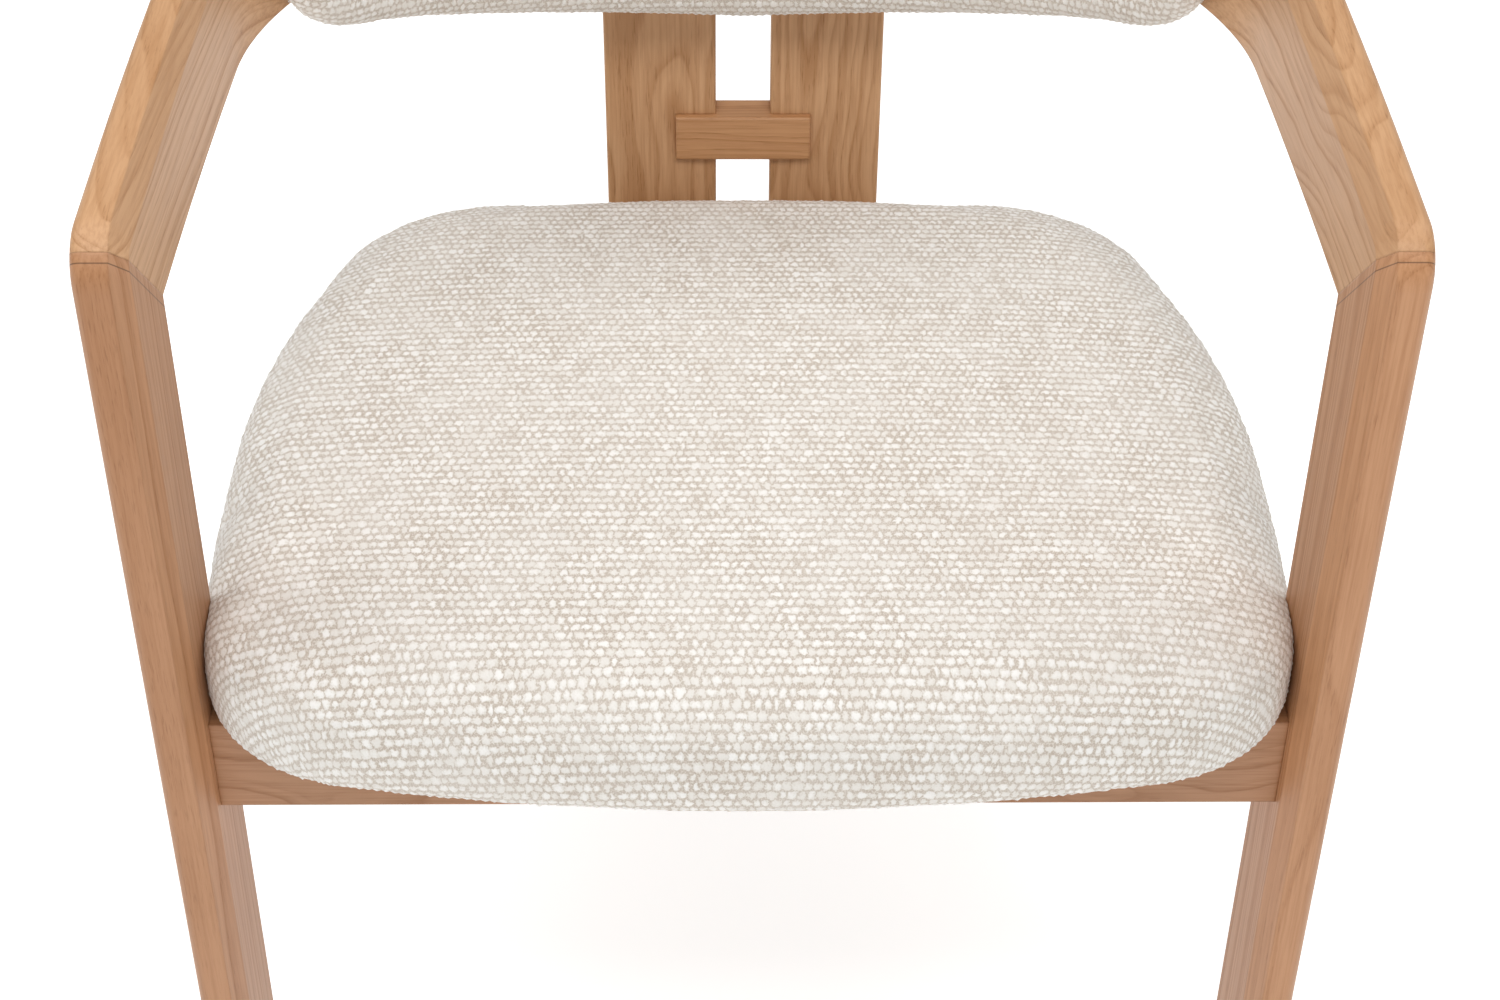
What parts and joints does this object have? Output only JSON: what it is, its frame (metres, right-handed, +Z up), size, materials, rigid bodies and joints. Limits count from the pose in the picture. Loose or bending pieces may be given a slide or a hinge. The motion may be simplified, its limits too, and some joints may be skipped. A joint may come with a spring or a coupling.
{
  "type": "armchair",
  "caption": "Wooden armchair with plank arms mitred to the front legs, a keyed board splat, a woven-fabric seat cushion and a curved upholstered back pad.",
  "frame": {"origin": "on the floor, in the middle of the chair's bounding box", "axes": "+Z up, -Y is the chair's front, +X is to the right seen from the front"},
  "size_m": [0.582, 0.561, 0.745],
  "materials": {
    "ash": "satin clear lacquer over straight-grained ash",
    "block_wood": "plain sawn hardwood",
    "dowel_beech": "fluted beech",
    "plywood": "unfinished birch plywood",
    "foam": "upholstery foam",
    "seat_fabric": "coarse basket weave in cream and beige",
    "back_fabric": "coarse basket weave in cream and beige",
    "dust_cloth": "thin black bonded cloth",
    "zinc_steel": "zinc plated",
    "glide_plastic": "moulded brown nylon"
  },
  "bodies": {
    "root": {"arm_left": "ash", "arm_right": "ash", "back_board": "plywood", "back_cover": "back_fabric", "back_foam": "foam", "back_screws": "zinc_steel", "corner_block_front_left": "block_wood", "corner_block_front_right": "block_wood", "corner_block_rear_left": "block_wood", "corner_block_rear_right": "block_wood", "corner_block_screws": "zinc_steel", "crest_dowels": "dowel_beech", "crest_rail": "ash", "foot_glide_front_left": "glide_plastic", "foot_glide_front_right": "glide_plastic", "foot_glide_rear_left": "glide_plastic", "foot_glide_rear_right": "glide_plastic", "front_leg_left": "ash", "front_leg_right": "ash", "front_rail": "ash", "front_rail_dowels": "dowel_beech", "mitre_dowels": "dowel_beech", "rear_leg_left": "ash", "rear_leg_right": "ash", "rear_rail": "ash", "rear_rail_dowels": "dowel_beech", "screw_plugs": "ash", "seat_board": "plywood", "seat_cover": "seat_fabric", "seat_dust_cover": "dust_cloth", "seat_foam": "foam", "seat_screws": "zinc_steel", "seat_tee_nuts": "zinc_steel", "side_rail_dowels": "dowel_beech", "side_rail_left": "ash", "side_rail_right": "ash", "splat_board_left": "ash", "splat_board_right": "ash", "splat_key": "ash", "splat_tenons": "dowel_beech"}
  },
  "joints": []
}
